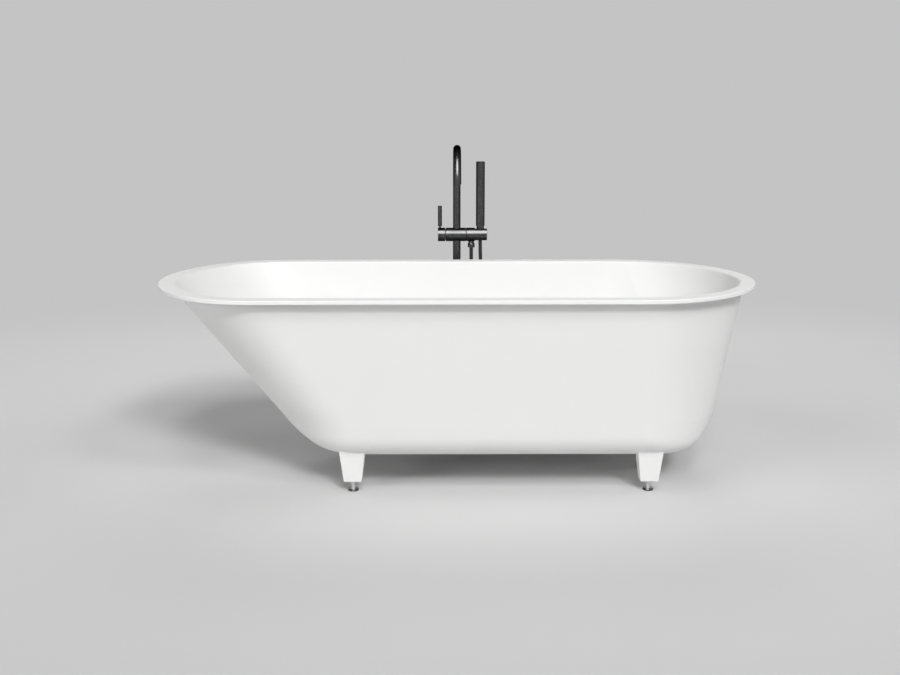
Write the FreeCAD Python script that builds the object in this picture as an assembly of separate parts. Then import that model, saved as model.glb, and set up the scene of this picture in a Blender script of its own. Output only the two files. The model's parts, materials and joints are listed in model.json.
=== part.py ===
import FreeCAD, Part
import math
import os

# Freestanding bathtub on four levelling feet, with its floor-standing bath tap. Millimetres, +Z up.
# The origin lies on the floor under the middle of the whole set, +X points to the steep end, where
# the waste is, and +Y points to the tap.

Vector = FreeCAD.Vector
UP = Vector(0, 0, 1)
BACKWARD = Vector(0, 1, 0)
ALONG = Vector(1, 0, 0)

# Clearances and cuts
running_gap = 0.05          # radial, shaft in hole
seat_gap = 0.3              # between faces of pieces that part
overrun = 5.0               # how far a cutting tool reaches past a face

# Bath shell
bath_length = 1700.0
bath_width = 760.0
lip_height = 570.0          # floor to the top of the lip
lip_thickness = 11.5
lip_edge_round = 2.5
lip_inner_round = 5.0
lip_under_round = 8.0
lip_overhang_side = 28.0
lip_overhang_back = 40.0    # at the sloping end
lip_overhang_steep = 32.0   # at the steep end
wall = 12.0                 # at the ends
side_wall = 20.0
base_thickness = 22.0
base_height = 103.0         # floor to the underside of the shell
back_slope = 38.9           # degrees from upright
steep_slope = 10.3
side_slope = 11.4
back_bend = 210.0           # radius between the sloping end and the base
steep_bend = 120.0
side_bend = 85.0
back_end_share = 0.80       # plan length of an end's curve over half the width, at the lip
back_bend_share = 0.80      # the same where the walls meet the bends
back_base_share = 0.50      # and at the base
back_shoulder_share = 0.834  # radius of a shoulder over that plan length
steep_end_share = 0.952
steep_bend_share = 0.86
steep_base_share = 0.50
steep_shoulder_share = 0.896
bend_step_count = 8         # sections through the bends
bend_degree = 2             # of the surface through those sections

# Feet
foot_spread = 416.0         # between the front and rear leveller axes
foot_back_inset = 558.0     # from the lip's tip at that end to the leveller's axis
foot_steep_inset = 314.0
foot_clearance = 30.0       # floor to the foot's underside
foot_top_width = 72.8
foot_top_depth = 62.0
foot_bottom_width = 50.0
foot_bottom_depth = 44.0
foot_reach = 20.0           # how far the tapered block runs up past the base before it is trimmed
foot_edge_round = 2.5
foot_counterbore_depth = 52.0
foot_bolt_diameter = 10.0
foot_bolt_clearance = 0.5
foot_bolt_head_diameter = 16.0
foot_bolt_head_height = 10.0
foot_bolt_key = 8.0         # across the flats of the key socket
foot_bolt_key_side_count = 6
foot_bolt_key_depth = 5.0
foot_washer_diameter = 20.0
foot_washer_thickness = 2.0
foot_insert_diameter = 15.0
foot_insert_length = 13.0
foot_insert_cover = 5.0     # base left above an insert
foot_bolt_tip_gap = 1.0
foot_dowel_diameter = 6.0
foot_dowel_depth = 8.0      # into the shell, and a like depth into the foot
foot_dowel_offset = 19.0
foot_bush_diameter = 22.0
foot_bush_length = 24.0

# Levellers
spindle_diameter = 14.0
spindle_length = 49.0
spindle_chamfer = 1.5
spindle_collar_diameter = 21.0
spindle_collar_height = 1.5
spindle_pivot_diameter = 8.0
spindle_pivot_height = 1.4
spindle_slot_width = 2.0
spindle_slot_depth = 2.0
pad_diameter = 30.0
pad_height = 4.5
pad_rim_height = 1.2        # upright, below the skirt's slope
pad_top_diameter = 25.0
pad_recess_depth = 2.0
sole_diameter = 28.0
sole_thickness = 2.0

# Waste
waste_inset = 290.0         # from the lip's tip at the steep end to the waste's axis
waste_hole_diameter = 50.0
waste_flange_diameter = 70.0
waste_flange_thickness = 2.5
waste_recess_gap = 1.0
waste_seal_thickness = 1.0
waste_tube_diameter = 46.0
waste_tube_bore = 40.0
waste_tube_length = 41.0
waste_bar_drop = 21.0       # top of the flange to the top of its crossbars
waste_bar_height = 4.0
waste_bar_width = 4.0
waste_bar_bite = 1.0        # how far a crossbar runs into the tube's wall
waste_hub_diameter = 20.0
cartridge_thread_diameter = 12.0
cartridge_thread_length = 12.0
cartridge_diameter = 16.0
cartridge_height = 13.0
plug_diameter = 63.0
plug_edge_thickness = 2.0
plug_dome_height = 4.5
plug_boss_diameter = 20.0
plug_boss_height = 6.0
plug_seal_thickness = 4.0
plug_stem_diameter = 6.0
plug_stem_length = 31.0
plug_stem_socket = 3.0      # how far the stem is held in the plug's boss
body_seal_thickness = 3.0
waste_body_diameter = 66.0
waste_body_top_height = 14.0
waste_body_height = 48.0
waste_neck_diameter = 48.0
waste_throat_diameter = 34.0
tail_diameter = 40.0
tail_wall = 2.0
tail_spigot_step = 1.0      # radial step where the pipe enters the nut
tail_step_drop = 1.0        # the nut's underside to that step
tail_insert_depth = 13.0
tail_end_height = 8.0       # floor to the pipe's free end
tail_seal_thickness = 3.0
tail_nut_diameter = 60.0
tail_nut_height = 16.0
tail_nut_lip = 3.0
tail_nut_side_count = 8

# Tap: column and body
tap_offset = 480.0          # bath centre line to the tap's column
tap_x = 4.1
tap_axis_height = 638.7     # floor to the axis of the mixer body
cover_diameter = 84.0
cover_height = 14.0
cover_wall = 2.0
cover_edge_round = 2.0
plate_diameter = 70.0
plate_thickness = 6.0
plate_bolt_circle = 52.0
plate_bolt_count = 4
plate_bolt_hole = 6.6
plate_collar_diameter = 30.0
plate_collar_height = 5.0
column_diameter = 25.0
column_wall = 2.0
column_socket_depth = 8.0   # into the underside of the body
supply_diameter = 8.0
supply_wall = 1.0
supply_end_height = 3.0
body_diameter = 44.0
body_left = -35.6           # from the column's axis
body_right = 29.7
body_edge_chamfer = 0.6
cavity_diameter = 36.0
cavity_depth = 22.0
mixer_diameter = 34.0
mixer_nut_thickness = 6.0
mixer_nut_bore = 14.0
mixer_nut_flange_diameter = 36.0  # stands in the seam behind the handle
mixer_stem_diameter = 10.0
mixer_stem_length = 16.0
passage_diameter = 8.0
chamber_diameter = 18.0     # above the column, where the supplies enter

# Tap: handle
handle_seam = 2.2
handle_length = 24.0
handle_front = 5.0          # thickness of the closed end
handle_wall = 3.0
handle_socket_depth = 9.0
handle_socket_wall = 3.0
lever_offset = 6.7          # from the handle's closed end to the lever's axis
lever_diameter = 13.4
lever_bottom_height = 27.3  # above the mixer axis
lever_top_height = 93.5
lever_neck_diameter = 6.5
lever_neck_depth = 4.0      # into the handle's wall
lever_chamfer = 0.7

# Tap: holder end, diverter and hose outlet
body_ring_diameter = 40.0   # seals the end block to the body
body_ring_bore = 12.0
body_ring_thickness = 1.8
holder_length = 67.0
holder_flat_start = 26.9    # from the ring
holder_flat_height = 17.9   # each flat from the mixer axis
holder_offset = 45.3        # ring to the hand shower's axis
holder_bore_top = 23.2
holder_bore_bottom = 15.0
holder_bore_straight = 9.0
outlet_offset = 15.9        # ring to the hose outlet's axis
outlet_diameter = 18.0
outlet_spigot_diameter = 12.0
outlet_spigot_length = 8.0
outlet_bore = 8.0
outlet_length = 14.0
hose_nut_diameter = 22.4
hose_nut_height = 13.5
hose_nut_chamfer = 2.5
outlet_top_depth = 3.0      # neck above the underside of the round body
diverter_offset = 15.9
diverter_bush_diameter = 14.0
diverter_bush_length = 12.0
diverter_bush_proud = 2.0
diverter_stem_diameter = 6.0
diverter_stem_length = 19.0
diverter_knob_diameter = 16.0
diverter_knob_length = 11.0
diverter_knob_chamfer = 1.0

# Tap: spout
spout_diameter = 24.4
spout_wall = 2.0
spout_arc_radius = 98.0
spout_mouth_length = 5.8    # straight tube below the arc's end
spout_top_height = 932.8    # floor to the top of the arc's outside
spout_neck_diameter = 17.0
spout_neck_bore = 12.0
spout_neck_length = 18.0
spout_bush_diameter = 22.0
spout_bush_length = 16.0
ring_count = 2
ring_section = 1.6
ring_groove_share = 0.55    # groove depth over the ring's section
ring_first_drop = 4.0
ring_pitch = 7.0
aerator_length = 8.0
aerator_recess = 1.0
aerator_gap = 0.2           # radial, clears the arc of the spout's bore
aerator_hole_diameter = 2.2
aerator_row_count = 3       # rings of holes round the middle one
aerator_row_pitch = 2.6
aerator_hole_count = 6

# Hand shower
cone_flange_diameter = 23.8
cone_flange_height = 10.2
cone_groove_width = 1.0
cone_groove_depth = 0.8
cone_gap = 0.4              # radial, between the cone and the holder's bore
cone_bore = 7.0
wand_bottom_diameter = 28.4
wand_top_diameter = 28.6
wand_length = 208.1
wand_wall = 2.2
wand_edge_round = 1.0
wand_floor = 4.0
spray_length = 70.0
spray_width = 15.0
spray_thickness = 1.4
spray_top_drop = 14.0       # top of the wand to the top of the spray face
nozzle_diameter = 1.8
nozzle_rise = 0.7
nozzle_column_count = 3
nozzle_row_count = 12
nozzle_column_pitch = 4.0
nozzle_row_pitch = 5.0

# Shower hose
hose_diameter = 12.0
hose_start_drop = 41.7      # mixer axis to the hose's start under the nut
hose_start_run = 57.0       # straight down from there
hose_end_drop = 12.7        # mixer axis to the hose's end in the hand shower's cone
hose_end_run = 68.0         # straight up to there
hose_free_points = [        # between those runs, from the column's axis (X, Y) and the floor (Z)
    (48.1, -7, 450), (49.9, -23, 350), (49.4, -43, 245), (46.4, -57, 150), (45.9, -59, 65),
    (63.5, -23.4, 26), (88.3, 25.4, 26), (105.9, 60, 65), (107.9, 62, 160), (102.9, 50, 260),
    (93.9, 30, 365), (85.4, 9, 465),
]
hose_arc_share = 0.45       # of the shorter run beside a corner

# Places worked out from the sizes above
bath_y = -(tap_offset + cover_diameter / 2 - bath_width / 2) / 2
tap_y = bath_y + tap_offset
waste_x = bath_length / 2 - waste_inset
lip_underside = lip_height - lip_thickness
foot_rows = {"front": bath_y - foot_spread / 2, "rear": bath_y + foot_spread / 2}
foot_columns = {"left": foot_back_inset - bath_length / 2, "right": bath_length / 2 - foot_steep_inset}
foot_places = [(row + "_" + column, x, y)
               for row, y in foot_rows.items() for column, x in foot_columns.items()]
foot_bore_top = foot_clearance + foot_counterbore_depth
insert_top = base_height + base_thickness - foot_insert_cover
basin_floor = base_height + base_thickness
block_start = body_right + body_ring_thickness
hose_start = Vector(block_start + outlet_offset, 0, tap_axis_height - hose_start_drop)
hose_end = Vector(block_start + holder_offset, 0, tap_axis_height - hose_end_drop)
hose_route = ([hose_start, hose_start - UP * hose_start_run]
              + [Vector(*point) for point in hose_free_points]
              + [hose_end - UP * hose_end_run, hose_end])


# Shapes that several pieces share

def turned(points, base, axis=UP):
    """A closed outline of (radius, height) points, turned about an axis through base."""
    outline = [Vector(radius, 0, height) for radius, height in points]
    face = Part.Face(Part.makePolygon(outline + outline[:1]))
    solid = face.revolve(Vector(0, 0, 0), UP, 360)
    solid.Placement = FreeCAD.Placement(base, FreeCAD.Rotation(UP, axis))
    return solid


def rod(diameter, length, base, axis=UP):
    return Part.makeCylinder(diameter / 2, length, base, axis)


def tube(outer, inner, length, base, axis=UP):
    bore = rod(inner, length + 2 * overrun, base - axis * overrun, axis)
    return rod(outer, length, base, axis).cut(bore)


def prism(sides, across, height, base):
    """A regular prism, across its flats."""
    radius = across / 2 / math.cos(math.pi / sides)
    angles = [2 * math.pi * i / sides for i in range(sides)]
    corners = [base + Vector(math.cos(angle), math.sin(angle), 0) * radius for angle in angles]
    return Part.Face(Part.makePolygon(corners + corners[:1])).extrude(UP * height)


def edge_points(edge):
    first, last = edge.ParameterRange
    return [edge.valueAt(first), edge.valueAt((first + last) / 2), edge.valueAt(last)]


def level_edges(shape, height):
    """The edges of a shape that lie flat at one height."""
    return [edge for edge in shape.Edges
            if all(abs(point.z - height) < running_gap for point in edge_points(edge))]


def edges_inside(edges, margin):
    """Those edges that stay at least a margin inside the lip's outline."""
    reach_x = bath_length / 2 - margin
    reach_y = bath_width / 2 - margin
    return [edge for edge in edges
            if all(abs(point.x) < reach_x and abs(point.y - bath_y) < reach_y
                   for point in edge_points(edge))]


def save(node, *solids):
    shape = solids[0] if len(solids) == 1 else Part.makeCompound(list(solids))
    shape.exportStep("parts/" + node + ".step")


# Bath shell

def bend_rise(inset):
    """Height of the bends above the base, for a surface inset from the outer one."""
    bends = ((back_bend, back_slope), (steep_bend, steep_slope), (side_bend, side_slope))
    return max((bend - inset) * (1 - math.sin(math.radians(slope))) for bend, slope in bends)


def share_at(z, at_lip, at_bend, at_base):
    """An end's share at height z: even up the walls, and easing towards the base through the bends."""
    rise = bend_rise(0)
    climb = (z - base_height) / rise
    if climb < 1:
        return at_bend - (at_bend - at_base) * (1 - climb) ** 2
    return at_bend + (at_lip - at_bend) * (z - base_height - rise) / (lip_underside - base_height - rise)


def plan_wire(back_x, steep_x, half_width, full_width, inset, z):
    """The bath's plan at one height: straight sides, and ends of a tip arc between two shoulder arcs."""
    edges = []

    def end(x_tip, side, end_share, shoulder_share):
        length = end_share * full_width - inset
        shoulder = shoulder_share * end_share * full_width - inset
        straight_end = x_tip - side * length
        shift = ((half_width - shoulder) ** 2 - (length - shoulder) ** 2) / (2 * (length - shoulder))
        tip_radius = length + shift
        tip_centre = straight_end - side * shift
        join = math.atan2(half_width - shoulder, shift)
        middle = (join + math.pi / 2) / 2

        def on_arc(centre_x, centre_y, radius, angle, mirror):
            return Vector(centre_x + side * radius * math.cos(angle),
                          bath_y + mirror * (centre_y + radius * math.sin(angle)), z)

        front = on_arc(straight_end, half_width - shoulder, shoulder, math.pi / 2, -1)
        front_middle = on_arc(straight_end, half_width - shoulder, shoulder, middle, -1)
        front_join = on_arc(tip_centre, 0, tip_radius, join, -1)
        tip = Vector(x_tip, bath_y, z)
        rear_join = on_arc(tip_centre, 0, tip_radius, join, 1)
        rear_middle = on_arc(straight_end, half_width - shoulder, shoulder, middle, 1)
        rear = on_arc(straight_end, half_width - shoulder, shoulder, math.pi / 2, 1)
        return front, front_middle, front_join, tip, rear_join, rear_middle, rear

    steep = end(steep_x, 1, share_at(z, steep_end_share, steep_bend_share, steep_base_share),
                steep_shoulder_share)
    back = end(back_x, -1, share_at(z, back_end_share, back_bend_share, back_base_share),
               back_shoulder_share)
    edges.append(Part.makeLine(back[0], steep[0]))
    edges.append(Part.Arc(steep[0], steep[1], steep[2]).toShape())
    edges.append(Part.Arc(steep[2], steep[3], steep[4]).toShape())
    edges.append(Part.Arc(steep[4], steep[5], steep[6]).toShape())
    edges.append(Part.makeLine(steep[6], back[6]))
    edges.append(Part.Arc(back[6], back[5], back[4]).toShape())
    edges.append(Part.Arc(back[4], back[3], back[2]).toShape())
    edges.append(Part.Arc(back[2], back[1], back[0]).toShape())
    return Part.Wire(edges)


def wall_reach(z, top_reach, slope, bend, inset, floor_z):
    """How far a wall stands out at height z: a straight slope, then a bend down to the floor."""
    lean = math.radians(slope)
    radius = bend - inset
    centre_z = floor_z + radius
    line_reach = top_reach - inset / math.cos(lean) - (lip_underside - z) * math.tan(lean)
    if z >= centre_z - radius * math.sin(lean):
        return line_reach
    centre_reach = (top_reach - inset / math.cos(lean) - (lip_underside - centre_z) * math.tan(lean)
                    - radius / math.cos(lean))
    return centre_reach + math.sqrt(radius ** 2 - (centre_z - z) ** 2)


def hull(inset, side_inset, floor_z, top_z):
    """The bath's body as one closed solid, inset from its outer face."""
    heights = [floor_z + bend_rise(inset) * (1 - math.cos(math.pi / 2 * i / bend_step_count))
               for i in range(bend_step_count + 1)]
    sections = []
    for z in heights + [top_z]:
        back = wall_reach(z, bath_length / 2 - lip_overhang_back, back_slope, back_bend, inset, floor_z)
        steep = wall_reach(z, bath_length / 2 - lip_overhang_steep, steep_slope, steep_bend, inset, floor_z)
        side = wall_reach(z, bath_width / 2 - lip_overhang_side, side_slope, side_bend,
                          side_inset, floor_z)
        sections.append(plan_wire(-back, steep, side, side + side_inset, inset, z))
    lower = Part.makeLoft(sections[:-1], True, False, False, bend_degree)
    walls = Part.makeLoft(sections[-2:], True, True)
    return lower.fuse(walls)


def make_shell(outside):
    half_length = bath_length / 2
    half_width = bath_width / 2
    lip = Part.Face(plan_wire(-half_length, half_length, half_width, half_width, 0, lip_underside))
    lip = lip.extrude(UP * lip_thickness)
    lip = lip.makeFillet(lip_edge_round, level_edges(lip, lip_underside) + level_edges(lip, lip_height))
    inside = hull(wall, side_wall, basin_floor, lip_height + overrun)
    shell = outside.fuse(lip).cut(inside)
    shell = shell.makeFillet(lip_inner_round, edges_inside(level_edges(shell, lip_height), wall))
    shell = shell.makeFillet(lip_under_round, edges_inside(level_edges(shell, lip_underside), wall))
    recess_depth = waste_flange_thickness + waste_seal_thickness
    shell = shell.cut(rod(waste_flange_diameter + 2 * waste_recess_gap, recess_depth + overrun,
                          Vector(waste_x, bath_y, basin_floor - recess_depth)))
    shell = shell.cut(rod(waste_hole_diameter, base_thickness + 2 * overrun,
                          Vector(waste_x, bath_y, base_height - overrun)))
    for name, x, y in foot_places:
        shell = shell.cut(rod(foot_insert_diameter, insert_top - base_height + overrun,
                              Vector(x, y, base_height - overrun)))
        shell = shell.cut(rod(foot_dowel_diameter, foot_dowel_depth + overrun,
                              Vector(x + foot_dowel_offset, y, base_height - overrun)))
    return shell


# Feet and levellers

def make_foot(x, y, outside):
    def rectangle(width, depth, z):
        corners = [Vector(x - width / 2, y - depth / 2, z), Vector(x + width / 2, y - depth / 2, z),
                   Vector(x + width / 2, y + depth / 2, z), Vector(x - width / 2, y + depth / 2, z)]
        return Part.makePolygon(corners + corners[:1])

    block = Part.makeLoft([rectangle(foot_bottom_width, foot_bottom_depth, foot_clearance),
                           rectangle(foot_top_width, foot_top_depth, base_height + foot_reach)], True, True)
    top_edges = level_edges(block, base_height + foot_reach)
    rounded = [edge for edge in block.Edges if not any(edge.isSame(top) for top in top_edges)]
    block = block.makeFillet(foot_edge_round, rounded)
    block = block.cut(outside)
    block = block.cut(rod(foot_bush_diameter, foot_counterbore_depth + overrun,
                          Vector(x, y, foot_clearance - overrun)))
    block = block.cut(rod(foot_bolt_diameter + 2 * foot_bolt_clearance, base_height,
                          Vector(x, y, foot_clearance)))
    block = block.cut(rod(foot_insert_diameter, base_height, Vector(x, y, insert_top - foot_insert_length)))
    return block.cut(rod(foot_dowel_diameter, base_height,
                         Vector(x + foot_dowel_offset, y, base_height - foot_dowel_depth)))


def make_foot_fasteners(x, y):
    """The insert, bolt, washer, dowel and leveller bush of one foot."""
    insert = tube(foot_insert_diameter, foot_bolt_diameter, foot_insert_length,
                  Vector(x, y, insert_top - foot_insert_length))
    washer = tube(foot_washer_diameter, foot_bolt_diameter + 2 * foot_bolt_clearance, foot_washer_thickness,
                  Vector(x, y, foot_bore_top - foot_washer_thickness))
    head_top = foot_bore_top - foot_washer_thickness
    head_bottom = head_top - foot_bolt_head_height
    bolt = rod(foot_bolt_head_diameter, foot_bolt_head_height, Vector(x, y, head_bottom))
    bolt = bolt.fuse(rod(foot_bolt_diameter, insert_top - foot_bolt_tip_gap - head_top,
                         Vector(x, y, head_top)))
    bolt = bolt.cut(prism(foot_bolt_key_side_count, foot_bolt_key, foot_bolt_key_depth,
                          Vector(x, y, head_bottom)))
    dowel = rod(foot_dowel_diameter, 2 * foot_dowel_depth,
                Vector(x + foot_dowel_offset, y, base_height - foot_dowel_depth))
    bush = tube(foot_bush_diameter, spindle_diameter + 2 * running_gap, foot_bush_length,
                Vector(x, y, foot_clearance))
    return insert, bolt, washer, dowel, bush


def make_leveller(x, y):
    """The screwed spindle, the pad that it turns in and the pad's sole."""
    recess_floor = sole_thickness + pad_height - pad_recess_depth
    collar_bottom = recess_floor + seat_gap
    collar_top = collar_bottom + spindle_collar_height
    spindle_top = collar_bottom + spindle_length
    pivot = spindle_pivot_diameter / 2
    stem = spindle_diameter / 2
    pivot_bottom = collar_bottom - spindle_pivot_height
    spindle = turned([(0, pivot_bottom), (pivot, pivot_bottom), (pivot, collar_bottom),
                      (spindle_collar_diameter / 2, collar_bottom),
                      (spindle_collar_diameter / 2, collar_top), (stem, collar_top),
                      (stem, spindle_top - spindle_chamfer), (stem - spindle_chamfer, spindle_top),
                      (0, spindle_top)], Vector(x, y, 0))
    slot_corner = Vector(x - stem - overrun, y - spindle_slot_width / 2, spindle_top - spindle_slot_depth)
    spindle = spindle.cut(Part.makeBox(spindle_diameter + 2 * overrun, spindle_slot_width,
                                       spindle_slot_depth + overrun, slot_corner))
    hole_bottom = pivot_bottom - seat_gap
    recess = spindle_collar_diameter / 2 + seat_gap
    pad = turned([(0, sole_thickness), (pad_diameter / 2, sole_thickness),
                  (pad_diameter / 2, sole_thickness + pad_rim_height),
                  (pad_top_diameter / 2, sole_thickness + pad_height), (recess, sole_thickness + pad_height),
                  (recess, recess_floor), (pivot + running_gap, recess_floor),
                  (pivot + running_gap, hole_bottom), (0, hole_bottom)], Vector(x, y, 0))
    sole = rod(sole_diameter, sole_thickness, Vector(x, y, 0))
    return spindle, pad, sole


# Waste

def make_waste():
    """The waste's pieces by node name, on the axis through the shell's hole."""
    base = Vector(waste_x, bath_y, 0)
    flange_bottom = basin_floor - waste_flange_thickness
    tube_bottom = basin_floor - waste_tube_length
    bore = waste_tube_bore / 2
    flange = turned([(bore, basin_floor), (bore, tube_bottom), (waste_tube_diameter / 2, tube_bottom),
                     (waste_tube_diameter / 2, flange_bottom), (waste_flange_diameter / 2, flange_bottom),
                     (waste_flange_diameter / 2, basin_floor)], base)
    bar_bottom = basin_floor - waste_bar_drop - waste_bar_height
    bar_length = waste_tube_bore + 2 * waste_bar_bite
    for angle in (0, 90):
        bar = Part.makeBox(bar_length, waste_bar_width, waste_bar_height,
                           base + Vector(-bar_length / 2, -waste_bar_width / 2, bar_bottom))
        bar.rotate(base, UP, angle)
        flange = flange.fuse(bar)
    flange = flange.fuse(rod(waste_hub_diameter, waste_bar_height, base + UP * bar_bottom))
    flange = flange.cut(rod(cartridge_thread_diameter, waste_bar_height + 2 * overrun,
                            base + UP * (bar_bottom - overrun)))
    bar_top = bar_bottom + waste_bar_height
    cartridge_top = bar_top + cartridge_height
    thread_bottom = bar_top - cartridge_thread_length
    stem_bore = plug_stem_diameter / 2 + running_gap
    cartridge = turned([(stem_bore, cartridge_top), (cartridge_diameter / 2, cartridge_top),
                        (cartridge_diameter / 2, bar_top), (cartridge_thread_diameter / 2, bar_top),
                        (cartridge_thread_diameter / 2, thread_bottom), (stem_bore, thread_bottom)], base)
    flange_seal = tube(waste_flange_diameter, waste_hole_diameter, waste_seal_thickness,
                       base + UP * (flange_bottom - waste_seal_thickness))
    body_seal = tube(waste_body_diameter, waste_tube_diameter, body_seal_thickness,
                     base + UP * (base_height - body_seal_thickness))

    cap_bottom = basin_floor + seat_gap
    boss_bottom = cap_bottom - plug_boss_height
    chord = plug_diameter / 2
    ball_radius = (chord ** 2 + plug_dome_height ** 2) / (2 * plug_dome_height)
    dome = rod(plug_diameter, plug_edge_thickness + plug_dome_height, base + UP * cap_bottom)
    dome_top = cap_bottom + plug_edge_thickness + plug_dome_height
    dome = dome.common(Part.makeSphere(ball_radius, base + UP * (dome_top - ball_radius)))
    plug = dome.fuse(rod(plug_boss_diameter, plug_boss_height, base + UP * boss_bottom))
    plug = plug.cut(rod(plug_stem_diameter, plug_stem_socket, base + UP * boss_bottom))
    plug_seal = turned([(plug_boss_diameter / 2, cap_bottom - plug_seal_thickness),
                        (bore - plug_seal_thickness, cap_bottom - plug_seal_thickness),
                        (bore - seat_gap, cap_bottom - plug_seal_thickness / 2),
                        (bore - seat_gap, cap_bottom), (plug_boss_diameter / 2, cap_bottom)], base)
    stem = rod(plug_stem_diameter, plug_stem_length,
               base + UP * (boss_bottom + plug_stem_socket - plug_stem_length))

    body_top = base_height - body_seal_thickness
    body_bottom = body_top - waste_body_height
    socket_top = body_bottom + tail_insert_depth
    neck = waste_neck_diameter / 2
    socket = tail_diameter / 2 - tail_spigot_step + seat_gap
    throat = waste_throat_diameter / 2
    body = turned([(waste_body_diameter / 2, body_top),
                   (waste_body_diameter / 2, body_top - waste_body_top_height),
                   (neck, body_top - waste_body_top_height - (waste_body_diameter / 2 - neck)),
                   (neck, body_bottom), (socket, body_bottom), (socket, socket_top), (throat, socket_top),
                   (throat, tube_bottom - (waste_tube_diameter / 2 - throat)),
                   (waste_tube_diameter / 2, tube_bottom), (waste_tube_diameter / 2, body_top)], base)
    seal_bottom = body_bottom - tail_seal_thickness
    nut_bottom = seal_bottom - tail_nut_lip
    nut = prism(tail_nut_side_count, tail_nut_diameter, tail_nut_height, base + UP * nut_bottom)
    nut = nut.cut(rod(waste_neck_diameter, tail_nut_height, base + UP * seal_bottom))
    nut = nut.cut(rod(tail_diameter + 2 * seat_gap, tail_nut_height, base + UP * (nut_bottom - overrun)))
    tail_seal = tube(waste_neck_diameter, tail_diameter - 2 * tail_spigot_step, tail_seal_thickness,
                     base + UP * seal_bottom)
    inner = tail_diameter / 2 - tail_wall
    spigot = tail_diameter / 2 - tail_spigot_step
    step = nut_bottom - tail_step_drop
    tail = turned([(inner, tail_end_height), (tail_diameter / 2, tail_end_height),
                   (tail_diameter / 2, step), (spigot, step), (spigot, socket_top),
                   (inner, socket_top)], base)
    return {"waste_flange": flange, "waste_flange_seal": flange_seal, "waste_body_seal": body_seal,
            "waste_body": body, "waste_cartridge": cartridge, "waste_plug": plug,
            "waste_plug_seal": plug_seal, "waste_plug_stem": stem, "tail_nut": nut,
            "tail_seal": tail_seal, "tail_pipe": tail}


# Tap

tap_base = Vector(tap_x, tap_y, 0)
tap_axis = Vector(tap_x, tap_y, tap_axis_height)
body_underside = tap_axis_height - body_diameter / 2
body_topside = tap_axis_height + body_diameter / 2
column_top = body_underside + column_socket_depth
block_x = tap_x + block_start
holder_base = Vector(block_x + holder_offset, tap_y, 0)
outlet_base = Vector(block_x + outlet_offset, tap_y, 0)
handle_start = tap_x + body_left - handle_seam
arc_height = spout_top_height - spout_diameter / 2 - spout_arc_radius


def make_column():
    """Everything from the floor to the mixer body."""
    plate = rod(plate_diameter, plate_thickness, tap_base)
    plate = plate.fuse(rod(plate_collar_diameter, plate_collar_height, tap_base + UP * plate_thickness))
    plate = plate.cut(rod(column_diameter, plate_collar_height + overrun, tap_base + UP * plate_thickness))
    plate = plate.cut(rod(column_diameter - 2 * column_wall, plate_thickness + 2 * overrun,
                          tap_base - UP * overrun))
    for i in range(plate_bolt_count):
        angle = 2 * math.pi * (i + 0.5) / plate_bolt_count
        place = Vector(math.cos(angle), math.sin(angle), 0) * (plate_bolt_circle / 2)
        plate = plate.cut(rod(plate_bolt_hole, plate_thickness + 2 * overrun,
                              tap_base + place - UP * overrun))
    cover = rod(cover_diameter, cover_height, tap_base)
    cover = cover.makeFillet(cover_edge_round, level_edges(cover, cover_height))
    cover = cover.cut(rod(cover_diameter - 2 * cover_wall, cover_height - cover_wall, tap_base))
    cover = cover.cut(rod(column_diameter, cover_height + overrun, tap_base))
    column = tube(column_diameter, column_diameter - 2 * column_wall, column_top - plate_thickness,
                  tap_base + UP * plate_thickness)
    side = supply_diameter / 2 + running_gap
    pipes = [tube(supply_diameter, supply_diameter - 2 * supply_wall, column_top - supply_end_height,
                  tap_base + Vector(offset, 0, supply_end_height)) for offset in (-side, side)]
    return plate, cover, column, pipes


def round_block(length, start):
    """A length of the tap's body along X, with its end edges broken."""
    block = rod(body_diameter, length, start, ALONG)
    ends = [edge for edge in block.Edges if edge.BoundBox.XLength < running_gap]
    return block.makeChamfer(body_edge_chamfer, ends)


def make_body():
    body = round_block(body_right - body_left, tap_axis + ALONG * body_left)
    body = body.cut(rod(cavity_diameter, cavity_depth + overrun,
                        tap_axis + ALONG * (body_left - overrun), ALONG))
    body = body.cut(rod(column_diameter, column_socket_depth + overrun,
                        tap_base + UP * (body_underside - overrun)))
    body = body.cut(rod(spout_bush_diameter, spout_bush_length + overrun,
                        tap_base + UP * (body_topside - spout_bush_length)))
    body = body.cut(rod(chamber_diameter, body_diameter / 2, tap_base + UP * (column_top - running_gap)))
    return body.cut(rod(passage_diameter, body_right - body_left - cavity_depth + 2 * overrun,
                        tap_axis + ALONG * (body_left + cavity_depth - overrun), ALONG))


def make_mixer():
    """The mixing cartridge in its cavity, its ring nut and the stem that turns with the handle."""
    start = tap_axis + ALONG * body_left
    nut = tube(cavity_diameter, mixer_nut_bore, mixer_nut_thickness, start, ALONG)
    nut = nut.fuse(tube(mixer_nut_flange_diameter, mixer_nut_bore, handle_seam - seat_gap,
                        start - ALONG * (handle_seam - seat_gap), ALONG))
    nut_back = start + ALONG * mixer_nut_thickness
    cartridge = rod(mixer_diameter, cavity_depth - mixer_nut_thickness, nut_back, ALONG)
    stem = rod(mixer_stem_diameter, mixer_stem_length + mixer_nut_thickness - seat_gap,
               start - ALONG * mixer_stem_length, ALONG)
    return cartridge, nut, stem


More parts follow.
